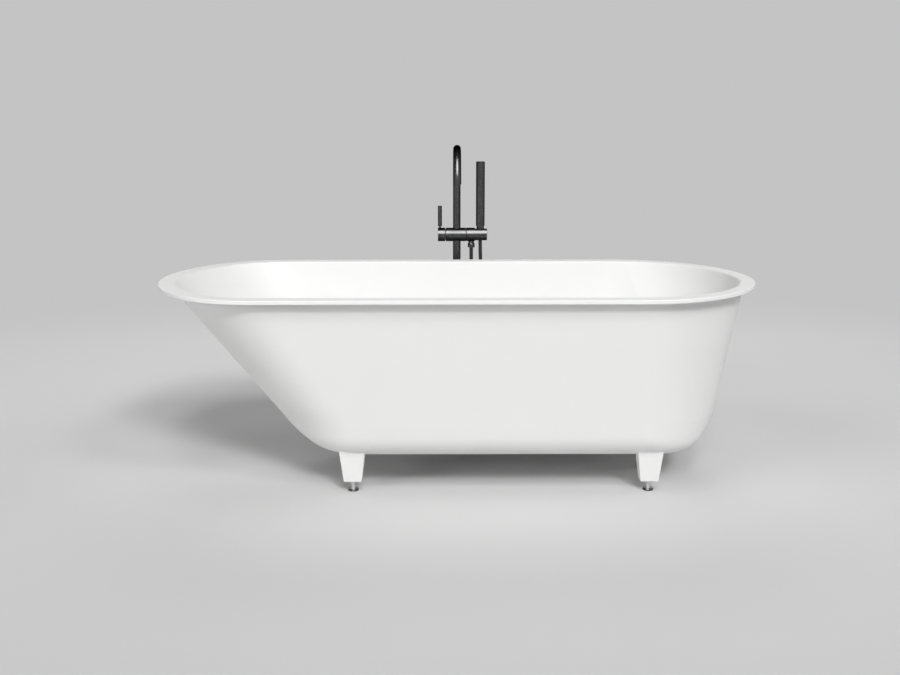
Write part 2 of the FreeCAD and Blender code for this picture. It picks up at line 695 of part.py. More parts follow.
def make_handle():
    end_x = handle_start - handle_length
    end = Vector(end_x, tap_y, tap_axis_height)
    handle = round_block(handle_length, end)
    front_inside = end + ALONG * handle_front
    hollow = rod(body_diameter - 2 * handle_wall, handle_length, front_inside, ALONG)
    boss = rod(mixer_stem_diameter + 2 * handle_socket_wall, handle_socket_depth, front_inside, ALONG)
    handle = handle.cut(hollow).fuse(boss)
    socket_start = tap_x + body_left - mixer_stem_length
    handle = handle.cut(rod(mixer_stem_diameter, handle_length,
                            Vector(socket_start, tap_y, tap_axis_height), ALONG))
    lever_base = Vector(end_x + lever_offset, tap_y, tap_axis_height)
    neck_bottom = body_diameter / 2 - lever_neck_depth
    handle = handle.cut(rod(lever_neck_diameter, body_diameter, lever_base + UP * neck_bottom))
    neck = lever_neck_diameter / 2
    radius = lever_diameter / 2
    shoulder = radius - lever_chamfer
    lever = turned([(0, neck_bottom), (neck, neck_bottom), (neck, lever_bottom_height),
                    (shoulder, lever_bottom_height), (radius, lever_bottom_height + lever_chamfer),
                    (radius, lever_top_height - lever_chamfer), (shoulder, lever_top_height),
                    (0, lever_top_height)], lever_base)
    return handle, lever


def holder_bore(radial_gap):
    """The tapered seat of the hand shower, or with a gap the cone that fits it."""
    flat = tap_axis_height + holder_flat_height
    bottom = tap_axis_height - holder_flat_height
    straight = bottom + holder_bore_straight
    return turned([(0, bottom), (holder_bore_bottom / 2 - radial_gap, bottom),
                   (holder_bore_bottom / 2 - radial_gap, straight), (holder_bore_top / 2 - radial_gap, flat),
                   (0, flat)], holder_base)


def make_holder():
    """The fixed end block with its ring, the hand shower's seat, the hose outlet and the diverter."""
    seam = Vector(block_x, tap_y, tap_axis_height)
    ring = tube(body_ring_diameter, body_ring_bore, body_ring_thickness, seam - ALONG * body_ring_thickness,
                ALONG)
    block = round_block(holder_length, seam)
    flat_length = holder_length - holder_flat_start
    for z in (tap_axis_height + holder_flat_height, tap_axis_height - holder_flat_height - body_diameter):
        block = block.cut(Part.makeBox(flat_length + overrun, 2 * body_diameter, body_diameter,
                                       Vector(block_x + holder_flat_start, tap_y - body_diameter, z)))
    block = block.cut(holder_bore(0))
    block = block.cut(rod(passage_diameter, diverter_offset, seam, ALONG))
    block = block.cut(rod(passage_diameter, body_diameter / 2, outlet_base + UP * body_underside))
    neck_top = body_underside + outlet_top_depth
    block = block.cut(rod(outlet_diameter, outlet_top_depth + overrun,
                          outlet_base + UP * (body_underside - overrun)))
    block = block.cut(rod(outlet_spigot_diameter, outlet_spigot_length, outlet_base + UP * neck_top))
    bush_start = body_diameter / 2 + diverter_bush_proud - diverter_bush_length
    diverter_base = Vector(block_x + diverter_offset, tap_y, tap_axis_height)
    block = block.cut(rod(diverter_bush_diameter, body_diameter,
                          diverter_base + BACKWARD * bush_start, BACKWARD))
    block = block.cut(rod(passage_diameter, bush_start, diverter_base, BACKWARD))
    bush = tube(diverter_bush_diameter, diverter_stem_diameter + 2 * running_gap, diverter_bush_length,
                diverter_base + BACKWARD * bush_start, BACKWARD)
    knob_start = body_diameter / 2 + diverter_bush_proud + seat_gap
    knob_end = knob_start + diverter_knob_length
    stem = diverter_stem_diameter / 2
    radius = diverter_knob_diameter / 2
    rim = radius - diverter_knob_chamfer
    knob = turned([(0, knob_start - diverter_stem_length), (stem, knob_start - diverter_stem_length),
                   (stem, knob_start), (rim, knob_start), (radius, knob_start + diverter_knob_chamfer),
                   (radius, knob_end - diverter_knob_chamfer), (rim, knob_end),
                   (0, knob_end)], diverter_base, BACKWARD)
    outlet_bottom = neck_top - outlet_length
    bore = outlet_bore / 2
    spigot = outlet_spigot_diameter / 2
    neck = outlet_diameter / 2
    outlet = turned([(bore, neck_top + outlet_spigot_length), (spigot, neck_top + outlet_spigot_length),
                     (spigot, neck_top), (neck, neck_top), (neck, outlet_bottom), (bore, outlet_bottom)],
                    outlet_base)
    nut_bottom = hose_start.z
    nut_top = nut_bottom + hose_nut_height
    nut_radius = hose_nut_diameter / 2
    nut = turned([(0, nut_bottom), (nut_radius, nut_bottom), (nut_radius, nut_top - hose_nut_chamfer),
                  (nut_radius - hose_nut_chamfer / 2, nut_top), (neck, nut_top),
                  (neck, outlet_bottom), (0, outlet_bottom)], outlet_base)
    return ring, block, bush, knob, outlet, nut


def make_spout():
    """The swivelling gooseneck, its bush, its rings and the aerator in its mouth."""
    shoulder = body_topside + seat_gap
    neck_bottom = shoulder - spout_neck_length
    foot_point = tap_base + UP * shoulder
    turn_point = tap_base + UP * arc_height
    arc_end = turn_point - BACKWARD * (2 * spout_arc_radius)
    mouth = arc_end - UP * spout_mouth_length
    top = tap_base + Vector(0, -spout_arc_radius, arc_height + spout_arc_radius)
    path = Part.Wire([Part.makeLine(foot_point, turn_point), Part.Arc(turn_point, top, arc_end).toShape(),
                      Part.makeLine(arc_end, mouth)])

    def along_path(diameter):
        circle = Part.Wire([Part.makeCircle(diameter / 2, foot_point, UP)])
        return path.makePipeShell([circle], True, True)

    neck = rod(spout_neck_diameter, spout_neck_length, tap_base + UP * neck_bottom)
    spout = along_path(spout_diameter).cut(along_path(spout_diameter - 2 * spout_wall))
    shoulder_disc = rod(spout_diameter, spout_wall, foot_point)
    spout = spout.fuse(shoulder_disc).fuse(neck)
    spout = spout.cut(rod(spout_neck_bore, spout_neck_length + spout_wall + overrun,
                          tap_base + UP * (neck_bottom - overrun)))
    groove_diameter = spout_neck_diameter - 2 * ring_section * ring_groove_share
    rings = []
    for i in range(ring_count):
        place = tap_base + UP * (shoulder - ring_first_drop - i * ring_pitch)
        spout = spout.cut(tube(spout_neck_diameter + overrun, groove_diameter, ring_section, place))
        rings.append(tube(spout_neck_diameter, groove_diameter, ring_section, place))
    bush = tube(spout_bush_diameter, spout_neck_diameter + 2 * running_gap, spout_bush_length,
                tap_base + UP * (body_topside - spout_bush_length))
    aerator = rod(spout_diameter - 2 * spout_wall - 2 * aerator_gap, aerator_length,
                  mouth + UP * aerator_recess)
    places = [Vector(0, 0, 0)]
    for row in range(1, aerator_row_count + 1):
        count = row * aerator_hole_count
        angles = [2 * math.pi * i / count for i in range(count)]
        places += [Vector(math.cos(angle), math.sin(angle), 0) * (row * aerator_row_pitch)
                   for angle in angles]
    holes = [rod(aerator_hole_diameter, aerator_length + 2 * overrun, mouth + place - UP * overrun)
             for place in places]
    aerator = aerator.cut(holes)
    return spout, bush, rings, aerator


# Hand shower

def make_hand_shower():
    flat = tap_axis_height + holder_flat_height
    flange_bottom = flat + seat_gap
    flange_top = flange_bottom + cone_flange_height
    radius = cone_flange_diameter / 2
    cone = holder_bore(cone_gap)
    cone = cone.fuse(rod(holder_bore_top - 2 * cone_gap, seat_gap, holder_base + UP * flat))
    below = tap_axis_height - holder_flat_height - overrun
    cone = cone.cut(rod(holder_bore_top, hose_end.z - below, holder_base + UP * below))
    groove_bottom = flange_top - cone_groove_width
    flange = turned([(0, flange_bottom), (radius, flange_bottom), (radius, groove_bottom),
                     (radius - cone_groove_depth, groove_bottom), (radius - cone_groove_depth, flange_top),
                     (0, flange_top)], holder_base)
    cone = cone.fuse(flange).cut(rod(cone_bore, flange_top - hose_end.z + 2 * overrun,
                                     holder_base + UP * (hose_end.z - overrun)))
    wand_top = flange_top + wand_length
    edge_start = wand_top - wand_edge_round
    low = wand_bottom_diameter / 2
    high = wand_top_diameter / 2
    wand = turned([(0, flange_top), (low, flange_top), (high, edge_start),
                   (high - wand_edge_round, wand_top), (0, wand_top)], holder_base)
    hollow = turned([(0, flange_top + wand_floor), (low - wand_wall, flange_top + wand_floor),
                     (high - wand_wall, wand_top - wand_wall), (0, wand_top - wand_wall)], holder_base)
    wand = wand.cut(hollow).cut(rod(cone_bore, wand_floor + overrun,
                                    holder_base + UP * (flange_top - overrun)))
    spray_top = wand_top - spray_top_drop
    pocket = spray_prism(spray_top, high)
    skin = turned([(low - spray_thickness, flange_top), (low, flange_top), (high, edge_start),
                   (high - spray_thickness, edge_start)], holder_base)
    face = pocket.common(skin)
    wand = wand.cut(face)
    nozzles = []
    middle = spray_top - spray_length / 2
    for column in range(nozzle_column_count):
        for row in range(nozzle_row_count):
            across = (column - (nozzle_column_count - 1) / 2) * nozzle_column_pitch
            z = middle + (row - (nozzle_row_count - 1) / 2) * nozzle_row_pitch
            share = (z - flange_top) / (edge_start - flange_top)
            surface = low + (high - low) * share
            angle = across / surface
            out = Vector(math.sin(angle), math.cos(angle), 0)
            start = holder_base + UP * z + out * (surface - spray_thickness + running_gap)
            nozzles.append(rod(nozzle_diameter, spray_thickness + nozzle_rise - running_gap, start, out))
    face = face.cut(nozzles)
    return cone, wand, face, nozzles


def spray_prism(spray_top, reach):
    """A round-ended slot, cut square into the back of the wand."""
    half = spray_width / 2
    low_centre = holder_base + UP * (spray_top - spray_length + half)
    high_centre = holder_base + UP * (spray_top - half)
    side = ALONG * half
    low_end = low_centre - UP * half
    high_end = high_centre + UP * half
    outline = Part.Wire([Part.makeLine(low_centre + side, high_centre + side),
                         Part.Arc(high_centre + side, high_end, high_centre - side).toShape(),
                         Part.makeLine(high_centre - side, low_centre - side),
                         Part.Arc(low_centre - side, low_end, low_centre + side).toShape()])
    return Part.Face(outline).extrude(BACKWARD * (reach + overrun))


# Shower hose

def rounded_path(points):
    """Straight runs through the points, with a tangent arc at each corner."""
    edges = []
    radii = []
    start = points[0]
    for before, corner, after in zip(points, points[1:], points[2:]):
        back = (before - corner).normalize()
        ahead = (after - corner).normalize()
        half_turn = (math.pi - back.getAngle(ahead)) / 2
        shorter = min((before - corner).Length, (after - corner).Length)
        radius = hose_arc_share * shorter / math.tan(half_turn)
        trim = radius * math.tan(half_turn)
        bisector = (back + ahead).normalize()
        centre = corner + bisector * (radius / math.cos(half_turn))
        arc_start = corner + back * trim
        arc_end = corner + ahead * trim
        edges.append(Part.makeLine(start, arc_start))
        edges.append(Part.Arc(arc_start, centre - bisector * radius, arc_end).toShape())
        start = arc_end
        radii.append(radius)
    edges.append(Part.makeLine(start, points[-1]))
    return Part.Wire(edges), radii


def make_hose():
    path, radii = rounded_path([tap_base + point for point in hose_route])
    start = path.Edges[0]
    circle = Part.Wire([Part.makeCircle(hose_diameter / 2, start.valueAt(start.FirstParameter),
                                        start.tangentAt(start.FirstParameter))])
    hose = path.makePipeShell([circle], True, False)
    section = math.pi * hose_diameter ** 2 / 4
    print("hose length %.0f, radii %s" % (path.Length, " ".join("%.0f" % radius for radius in radii)))
    print("hose volume over section times length %.4f" % (hose.Volume / (section * path.Length)))
    return hose


def main():
    os.makedirs("parts", exist_ok=True)
    outside = hull(0, 0, base_height, lip_height - lip_thickness / 2)
    save("bath_shell", make_shell(outside))
    groups = {"foot_inserts": [], "foot_bolts": [], "foot_washers": [], "foot_dowels": [], "foot_bushes": []}
    for name, x, y in foot_places:
        foot = make_foot(x, y, outside)
        save("foot_" + name, foot)
        for group, piece in zip(groups.values(), make_foot_fasteners(x, y)):
            group.append(piece)
        spindle, pad, sole = make_leveller(x, y)
        save("leveller_spindle_" + name, spindle)
        save("leveller_pad_" + name, pad)
        save("leveller_sole_" + name, sole)
    for group, pieces in groups.items():
        save(group, *pieces)
    for node, piece in make_waste().items():
        save(node, piece)

    plate, cover, column, pipes = make_column()
    save("tap_floor_plate", plate)
    save("tap_floor_cover", cover)
    save("tap_column", column)
    save("tap_supply_pipes", *pipes)
    save("tap_body", make_body())
    cartridge, mixer_nut, stem = make_mixer()
    save("tap_cartridge", cartridge)
    save("tap_cartridge_nut", mixer_nut)
    save("tap_cartridge_stem", stem)
    handle, lever = make_handle()
    save("tap_handle", handle)
    save("tap_lever", lever)
    ring, block, bush, knob, outlet, nut = make_holder()
    save("tap_body_ring", ring)
    save("tap_holder_end", block)
    save("tap_diverter_bush", bush)
    save("tap_diverter_knob", knob)
    save("tap_hose_outlet", outlet)
    save("tap_hose_nut", nut)
    spout, spout_bush, rings, aerator = make_spout()
    save("tap_spout", spout)
    save("tap_spout_bush", spout_bush)
    save("tap_spout_rings", *rings)
    save("tap_aerator", aerator)
    cone, wand, face, nozzles = make_hand_shower()
    save("hand_shower_cone", cone)
    save("hand_shower_body", wand)
    save("hand_shower_face", face)
    save("hand_shower_nozzles", *nozzles)
    save("shower_hose", make_hose())


main()
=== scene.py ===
import json
import math

import bmesh
import bpy
from mathutils import Matrix, Vector
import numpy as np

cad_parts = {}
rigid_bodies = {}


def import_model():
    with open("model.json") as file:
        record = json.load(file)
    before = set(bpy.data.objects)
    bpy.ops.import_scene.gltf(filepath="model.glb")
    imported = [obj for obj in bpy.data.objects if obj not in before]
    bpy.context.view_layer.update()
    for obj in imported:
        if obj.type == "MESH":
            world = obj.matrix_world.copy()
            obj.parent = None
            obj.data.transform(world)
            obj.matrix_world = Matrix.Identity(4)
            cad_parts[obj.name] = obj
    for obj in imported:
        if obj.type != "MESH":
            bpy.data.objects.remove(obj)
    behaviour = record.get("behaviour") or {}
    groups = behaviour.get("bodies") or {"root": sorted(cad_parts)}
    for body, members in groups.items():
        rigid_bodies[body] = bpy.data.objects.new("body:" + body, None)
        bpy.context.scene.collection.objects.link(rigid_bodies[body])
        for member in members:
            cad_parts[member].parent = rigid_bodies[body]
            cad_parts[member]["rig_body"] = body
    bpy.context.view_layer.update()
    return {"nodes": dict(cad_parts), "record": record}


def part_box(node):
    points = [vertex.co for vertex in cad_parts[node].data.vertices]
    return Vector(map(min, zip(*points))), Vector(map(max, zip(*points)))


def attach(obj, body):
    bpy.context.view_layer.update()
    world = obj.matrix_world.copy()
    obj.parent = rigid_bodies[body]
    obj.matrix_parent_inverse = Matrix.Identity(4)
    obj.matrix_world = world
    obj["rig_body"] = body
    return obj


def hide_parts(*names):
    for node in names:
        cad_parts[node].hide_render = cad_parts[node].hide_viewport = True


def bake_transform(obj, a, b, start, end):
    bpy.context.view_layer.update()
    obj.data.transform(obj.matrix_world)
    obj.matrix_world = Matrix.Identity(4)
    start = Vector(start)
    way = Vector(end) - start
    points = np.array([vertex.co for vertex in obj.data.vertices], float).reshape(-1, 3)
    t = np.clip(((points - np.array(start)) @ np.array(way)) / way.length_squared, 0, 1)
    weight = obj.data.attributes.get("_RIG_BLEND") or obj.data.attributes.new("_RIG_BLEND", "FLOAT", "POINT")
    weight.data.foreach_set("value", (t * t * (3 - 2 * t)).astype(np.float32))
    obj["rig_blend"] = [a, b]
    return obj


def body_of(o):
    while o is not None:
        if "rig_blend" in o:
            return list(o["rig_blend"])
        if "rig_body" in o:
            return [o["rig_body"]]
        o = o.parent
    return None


# Freestanding bathtub on levelling feet, with its floor-standing tap. Metres, in the frame's own axes.

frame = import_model()
nodes = frame["nodes"]
scene = bpy.context.scene
scene.view_settings.view_transform = "Standard"


# Camera, at the photograph's viewing angle

camera_place = Vector((-0.0276, -3.3936, 1.0892))
camera_yaw = 0.0024          # radians towards +X
camera_pitch = 0.2063        # radians below level
camera_roll = -0.0011
camera_lens = 46.53          # millimetres, on a sensor of this width
camera_sensor = 36.0


def place_camera():
    camera_data = bpy.data.cameras.new("photo_camera")
    camera_data.lens = camera_lens
    camera_data.sensor_width = camera_sensor
    camera = bpy.data.objects.new("photo_camera", camera_data)
    scene.collection.objects.link(camera)
    aim = (Matrix.Rotation(-camera_yaw, 4, "Z") @ Matrix.Rotation(math.pi / 2 - camera_pitch, 4, "X")
           @ Matrix.Rotation(camera_roll, 4, "Z"))
    camera.matrix_world = Matrix.Translation(camera_place) @ aim
    scene.camera = camera


place_camera()


# Material tools

patch_detail = 3.0           # finer layers in a noise
relief_detail = 2.0
noise_low = 0.3              # a noise seldom leaves this range
noise_high = 0.7


def shader_of(material):
    material.use_nodes = True
    return material.node_tree.nodes["Principled BSDF"]


def grain(material, scale, detail, stretch=(1, 1, 1)):
    """A noise in the piece's own space, drawn out along the axes where stretch is small."""
    tree = material.node_tree
    place = tree.nodes.new("ShaderNodeTexCoord")
    mapping = tree.nodes.new("ShaderNodeMapping")
    mapping.inputs["Scale"].default_value = stretch
    noise = tree.nodes.new("ShaderNodeTexNoise")
    noise.inputs["Scale"].default_value = scale
    noise.inputs["Detail"].default_value = detail
    tree.links.new(place.outputs["Object"], mapping.inputs["Vector"])
    tree.links.new(mapping.outputs["Vector"], noise.inputs["Vector"])
    return noise.outputs["Fac"]


def spread(material, fac, low, high):
    """A noise, spread from one value to another."""
    tree = material.node_tree
    span = tree.nodes.new("ShaderNodeMapRange")
    span.inputs["From Min"].default_value = noise_low
    span.inputs["From Max"].default_value = noise_high
    span.inputs["To Min"].default_value = low
    span.inputs["To Max"].default_value = high
    tree.links.new(fac, span.inputs["Value"])
    return span.outputs["Result"]


def mottle(material, fac, colour, deeper):
    """The surface's colour, wandering between two close tones."""
    tree = material.node_tree
    mix = tree.nodes.new("ShaderNodeMix")
    mix.data_type = "RGBA"
    mix.inputs["A"].default_value = (*colour, 1)
    mix.inputs["B"].default_value = (*deeper, 1)
    tree.links.new(spread(material, fac, 0, 1), mix.inputs["Factor"])
    tree.links.new(mix.outputs["Result"], shader_of(material).inputs["Base Color"])


# Painted shade at the outlines of the tap's coating and the hose
turned_away_from = 0.1       # how far a surface turns from the eye before the painted shade starts
turned_away_to = 0.6         # and where the painted shade is deepest
coating_painted_shade_share = 0.4     # what is left of the colour there
hose_painted_shade_share = 0.5


def paint_edge_shade(material, share):
    """Paints shade into a rounded surface's colour where it turns away from the eye, standing in for the
    darker surroundings its edges mirror.
    """
    tree = material.node_tree
    colour = shader_of(material).inputs["Base Color"]
    turn = tree.nodes.new("ShaderNodeLayerWeight")
    dim = tree.nodes.new("ShaderNodeMapRange")
    dim.inputs["From Min"].default_value = turned_away_from
    dim.inputs["From Max"].default_value = turned_away_to
    dim.inputs["To Min"].default_value = 1
    dim.inputs["To Max"].default_value = share
    scale = tree.nodes.new("ShaderNodeVectorMath")
    scale.operation = "SCALE"
    tree.links.new(turn.outputs["Facing"], dim.inputs["Value"])
    tree.links.new(colour.links[0].from_socket, scale.inputs["Vector"])
    tree.links.new(dim.outputs["Result"], scale.inputs["Scale"])
    tree.links.new(scale.outputs["Vector"], colour)


def relief(material, fac, depth):
    """Fine relief of a depth in metres."""
    tree = material.node_tree
    bump = tree.nodes.new("ShaderNodeBump")
    bump.inputs["Strength"].default_value = 1
    bump.inputs["Distance"].default_value = depth
    tree.links.new(fac, bump.inputs["Height"])
    tree.links.new(bump.outputs["Normal"], shader_of(material).inputs["Normal"])


def finish(name, colour, deeper, roughness, metallic=0.0, patch=20.0, fine=900.0, depth=0.00005,
           stretch=(1, 1, 1), edge_tint=1.0, gloss=0.5):
    """A finish whose tone and gloss wander in patches, over a fine relief."""
    material = bpy.data.materials.new(name)
    shader = shader_of(material)
    shader.inputs["Metallic"].default_value = metallic
    shader.inputs["Specular Tint"].default_value = (edge_tint, edge_tint, edge_tint, 1)
    shader.inputs["Specular IOR Level"].default_value = gloss
    patches = grain(material, patch, patch_detail)
    fines = grain(material, fine, relief_detail, stretch)
    mottle(material, patches, colour, deeper)
    low, high = roughness
    material.node_tree.links.new(spread(material, patches, low, high), shader.inputs["Roughness"])
    relief(material, fines, depth)
    return material


finishes = {
    "bath_cast": finish("cast_mineral_white", (0.83, 0.83, 0.826), (0.82, 0.82, 0.816), (0.5, 0.58),
                        patch=6.0, fine=700.0, depth=0.00002, gloss=0.25),
    "brass": finish("machined_brass", (0.72, 0.55, 0.26), (0.62, 0.46, 0.2), (0.22, 0.34),
                    metallic=1.0, fine=400.0, depth=0.00003, stretch=(1, 1, 12)),
    "steel": finish("zinc_plated_steel", (0.78, 0.78, 0.79), (0.7, 0.7, 0.71), (0.3, 0.42),
                    metallic=1.0, patch=90.0, fine=1500.0, depth=0.00002),
    "pad_plastic": finish("moulded_black_plastic", (0.035, 0.035, 0.036), (0.025, 0.025, 0.026), (0.25, 0.33),
                          patch=60.0, fine=1600.0, depth=0.00002, gloss=0.8),
    "rubber": finish("sole_rubber", (0.03, 0.03, 0.03), (0.02, 0.02, 0.02), (0.7, 0.85),
                     patch=50.0, fine=1200.0, depth=0.00006),
    "waste_chrome": finish("polished_chrome", (0.82, 0.82, 0.83), (0.78, 0.78, 0.79), (0.05, 0.1),
                           metallic=1.0, patch=40.0, fine=300.0, depth=0.000005),
    "waste_steel": finish("turned_steel", (0.6, 0.6, 0.6), (0.52, 0.52, 0.52), (0.22, 0.3),
                          metallic=1.0, patch=60.0, fine=500.0, depth=0.00002, stretch=(1, 1, 14)),
    "seal_rubber": finish("seal_rubber", (0.035, 0.035, 0.035), (0.025, 0.025, 0.025), (0.55, 0.7),
                          patch=60.0, fine=1200.0, depth=0.00004),
    "waste_plastic": finish("white_waste_plastic", (0.74, 0.74, 0.73), (0.7, 0.7, 0.69), (0.28, 0.36),
                            patch=30.0, fine=900.0, depth=0.00002),
    "floor_steel": finish("brushed_floor_steel", (0.5, 0.5, 0.5), (0.42, 0.42, 0.42), (0.3, 0.42),
                          metallic=1.0, patch=40.0, fine=600.0, depth=0.00003, stretch=(0.05, 1, 1)),
    "tap_black": finish("satin_black_coating_painted_edge_shade", (0.115, 0.115, 0.117), (0.105, 0.105, 0.107), (0.25, 0.31),
                        metallic=1.0, patch=25.0, fine=1800.0, depth=0.00001, edge_tint=0.1),
    "copper": finish("drawn_copper", (0.7, 0.38, 0.25), (0.58, 0.3, 0.19), (0.25, 0.4),
                     metallic=1.0, patch=50.0, fine=500.0, depth=0.00002, stretch=(1, 1, 0.05)),
    "cartridge_plastic": finish("dark_moulded_plastic", (0.045, 0.045, 0.047), (0.035, 0.035, 0.037),
                                (0.35, 0.45), patch=60.0, fine=1400.0, depth=0.00003),
    "tap_brass": finish("tap_brass", (0.7, 0.54, 0.28), (0.6, 0.46, 0.22), (0.2, 0.32),
                        metallic=1.0, patch=60.0, fine=500.0, depth=0.00002, stretch=(14, 1, 1)),
    "nozzle_rubber": finish("soft_nozzle_rubber", (0.09, 0.09, 0.09), (0.07, 0.07, 0.07), (0.5, 0.65),
                            patch=80.0, fine=1500.0, depth=0.00003),
    "hose_black": finish("smooth_black_hose_painted_edge_shade", (0.03, 0.03, 0.031), (0.023, 0.023, 0.024), (0.26, 0.36),
                         patch=40.0, fine=1200.0, depth=0.00003),
}

# Painted shade, darker towards the outlines of the tap's coating and the hose
paint_edge_shade(finishes["tap_black"], coating_painted_shade_share)
paint_edge_shade(finishes["hose_black"], hose_painted_shade_share)

slot_of = {entry["node"]: entry["material_slot"] for entry in frame["record"]["subparts"]}
for node, piece in nodes.items():
    piece.data.materials.clear()
    piece.data.materials.append(finishes[slot_of[node]])


# Leveller spindles, with their rolled threads

thread_pitch = 0.002
thread_depth = 0.0009
thread_flat_share = 0.2      # the thread's crest over its pitch
thread_margin = 0.0008       # plain length above the collar
slot_end_length = 0.005      # plain length at the slotted end
steps_per_turn = 32
sharp_angle = math.radians(35)
weld_distance = 0.00001


def cut_level(shape, level, keep_above):
    """Cuts a shape level at one height, keeps one part and closes it."""
    everything = shape.verts[:] + shape.edges[:] + shape.faces[:]
    cut = bmesh.ops.bisect_plane(shape, geom=everything, plane_co=(0, 0, level), plane_no=(0, 0, 1),
                                 clear_inner=keep_above, clear_outer=not keep_above)
    rim = [part for part in cut["geom_cut"] if isinstance(part, bmesh.types.BMEdge)]
    bmesh.ops.holes_fill(shape, edges=rim)


def thread_between(axis, radius, bottom, top):
    """A threaded rod between two heights."""
    shape = bmesh.new()
    turns = math.ceil((top - bottom) / thread_pitch) + 1
    flank = (1 - thread_flat_share) / 2
    outline = [(radius - thread_depth, 0), (radius, flank), (radius, flank + thread_flat_share),
               (radius - thread_depth, 1)]
    corners = [shape.verts.new((axis.x + reach, axis.y, bottom + (share - 1) * thread_pitch))
               for reach, share in outline]
    sides = [shape.edges.new(pair) for pair in zip(corners, corners[1:])]
    bmesh.ops.spin(shape, geom=corners + sides, cent=(axis.x, axis.y, 0), axis=(0, 0, 1),
                   dvec=(0, 0, thread_pitch / steps_per_turn), angle=2 * math.pi * turns,
                   steps=steps_per_turn * turns, use_merge=False, use_duplicate=False)
    bmesh.ops.remove_doubles(shape, verts=shape.verts[:], dist=weld_distance)
    cut_level(shape, bottom, True)
    cut_level(shape, top, False)
    return shape


def thread_spindle(node):
    """The turned spindle's two plain ends, with a thread between them."""
    low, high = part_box(node)
    pad_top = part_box(node.replace("spindle", "pad"))[1].z
    axis = (low + high) / 2
    radius = max(vertex.co.x for vertex in nodes[node].data.vertices
                 if vertex.co.z > axis.z) - axis.x
    bottom = pad_top + thread_margin
    top = high.z - slot_end_length
    whole = bpy.data.meshes.new(node + "_threaded")
    joined = bmesh.new()
    for level, keep_above in ((bottom, False), (top, True)):
        end = bmesh.new()
        end.from_mesh(nodes[node].data)
        cut_level(end, level, keep_above)
        end.to_mesh(whole)
        end.free()
        joined.from_mesh(whole)
    rod = thread_between(axis, radius, bottom, top)
    rod.to_mesh(whole)
    rod.free()
    joined.from_mesh(whole)
    bmesh.ops.recalc_face_normals(joined, faces=joined.faces[:])
    joined.to_mesh(whole)
    joined.free()
    whole.shade_smooth()
    whole.set_sharp_from_angle(angle=sharp_angle)
    whole.materials.clear()
    whole.materials.append(finishes[slot_of[node]])
    spindle = bpy.data.objects.new(node + "_threaded", whole)
    scene.collection.objects.link(spindle)
    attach(spindle, body_of(nodes[node])[0])
    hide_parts(node)


for node in [name for name in nodes if name.startswith("leveller_spindle")]:
    thread_spindle(node)


# Shower hose, on the same route as its solid

hose_diameter = 0.012
hose_points = [(0.0474, 0, 0.597), (0.0474, 0, 0.540), (0.0481, -0.007, 0.450), (0.0499, -0.023, 0.350),
               (0.0494, -0.043, 0.245), (0.0464, -0.057, 0.150), (0.0459, -0.059, 0.065),
               (0.0635, -0.0234, 0.026), (0.0883, 0.0254, 0.026), (0.1059, 0.060, 0.065),
               (0.1079, 0.062, 0.160), (0.1029, 0.050, 0.260), (0.0939, 0.030, 0.365), (0.0854, 0.009, 0.465),
               (0.0768, 0, 0.558), (0.0768, 0, 0.626)]
hose_slack_start = 0.35      # height from which the rising strand stretches when the hand shower lifts
hose_steps = 12              # between two points of the route
hose_steps_round = 6
hose_smoothness = 3          # how many points each stretch follows


def hose_curve(name, thickness):
    column_low, column_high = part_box("tap_column")
    foot = (column_low + column_high) / 2
    curve = bpy.data.curves.new(name, "CURVE")
    curve.dimensions = "3D"
    curve.resolution_u = hose_steps
    curve.bevel_depth = thickness
    curve.bevel_resolution = hose_steps_round
    curve.use_fill_caps = True
    spline = curve.splines.new("NURBS")
    spline.points.add(len(hose_points) - 1)
    for point, (x, y, z) in zip(spline.points, hose_points):
        point.co = (foot.x + x, foot.y + y, z, 1)
    spline.order_u = hose_smoothness
    spline.use_endpoint_u = True
    return bpy.data.objects.new(name, curve)


def as_mesh(holder):
    """The mesh that Blender makes of a curve."""
    scene.collection.objects.link(holder)
    bpy.context.view_layer.update()
    made = bpy.data.meshes.new_from_object(holder.evaluated_get(bpy.context.evaluated_depsgraph_get()))
    bpy.data.objects.remove(holder)
    return made


def make_hose():
    centre_line = [vertex.co.copy() for vertex in as_mesh(hose_curve("hose_line", 0)).vertices]
    tube = bpy.data.objects.new("shower_hose_tube", as_mesh(hose_curve("hose_skin", hose_diameter / 2)))
    scene.collection.objects.link(tube)
    tube.data.materials.clear()
    tube.data.materials.append(finishes["hose_black"])
    tube.data.shade_smooth()
    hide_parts("shower_hose")
    end = centre_line[-1]
    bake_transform(tube, "root", "hand_shower", start=(end.x, end.y, hose_slack_start), end=end)


make_hose()


# Floor, backdrop and light

floor_grey = 0.68
far_grey = (0.55, 0.55, 0.55)
floor_radius = 40.0
floor_segments = 96
floor_roughness = 0.9
floor_gloss = 0.1
fade_start = 1.7             # distances from the floor's middle between which far_grey takes over
fade_end = 3.6
floor_painted_falloff = 0.11           # painted falloff of light: the floor's colour grows lighter by this share with each metre to the rear
floor_painted_falloff_end = 1.8        # as far as this
backdrop_edge = 0.25         # the backdrop darkens from here to the ceiling, as sines of the angle
ceiling_edge = 0.8
ceiling_share = 0.2          # of the backdrop's light


def seen_directly(tree):
    """One for camera, glossy and transmission rays, and nought for the rest."""
    path = tree.nodes.new("ShaderNodeLightPath")
    glossy = tree.nodes.new("ShaderNodeMath")
    glossy.operation = "MAXIMUM"
    both = tree.nodes.new("ShaderNodeMath")
    both.operation = "MAXIMUM"
    tree.links.new(path.outputs["Is Camera Ray"], glossy.inputs[0])
    tree.links.new(path.outputs["Is Glossy Ray"], glossy.inputs[1])
    tree.links.new(glossy.outputs["Value"], both.inputs[0])
    tree.links.new(path.outputs["Is Transmission Ray"], both.inputs[1])
    return both.outputs["Value"]


